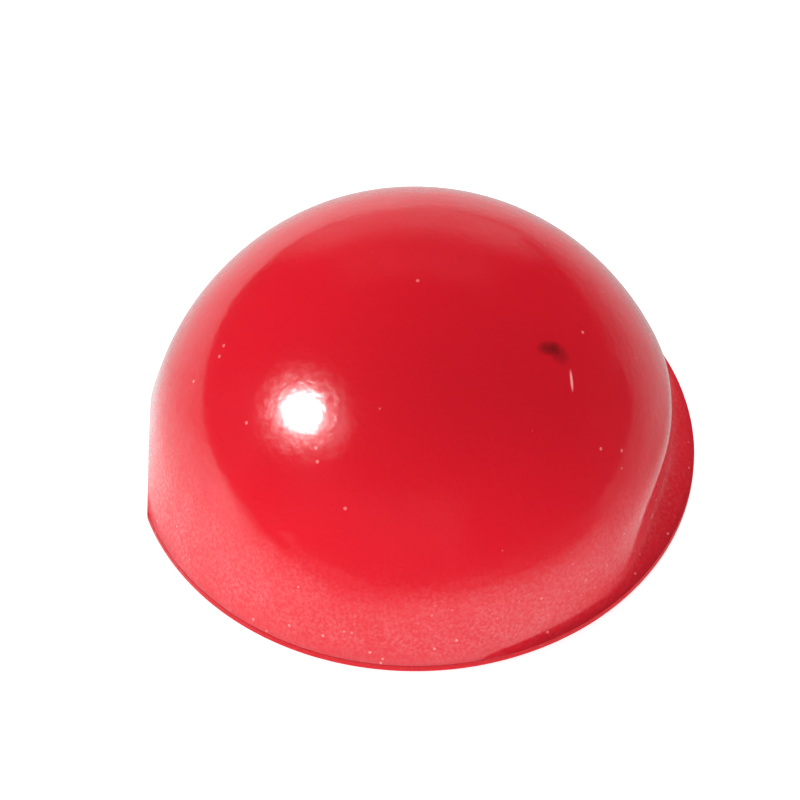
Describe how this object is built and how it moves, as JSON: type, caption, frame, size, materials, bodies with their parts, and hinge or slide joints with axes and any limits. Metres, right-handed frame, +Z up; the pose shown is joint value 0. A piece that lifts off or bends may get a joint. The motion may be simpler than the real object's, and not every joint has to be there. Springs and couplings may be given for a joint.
{
  "type": "watch case opening friction ball",
  "caption": "Soft tacky rubber half-ball on a thin base disc, pressed on a screwed watch back and twisted to open it by friction.",
  "frame": {"origin": "centre of the round base outline, on the flat underside", "axes": "+Z up through the top of the dome; the side where the disc is trimmed straight faces -X; -Y is the front"},
  "size_m": [0.0681, 0.07, 0.033],
  "materials": {
    "soft_rubber": "glossy, slightly translucent moulded surface with a faint matte bloom near the foot",
    "firm_rubber": "satin moulded surface, knife-trimmed on one side"
  },
  "bodies": {
    "root": {"friction_dome": "soft_rubber", "base_disc": "firm_rubber"}
  },
  "joints": []
}
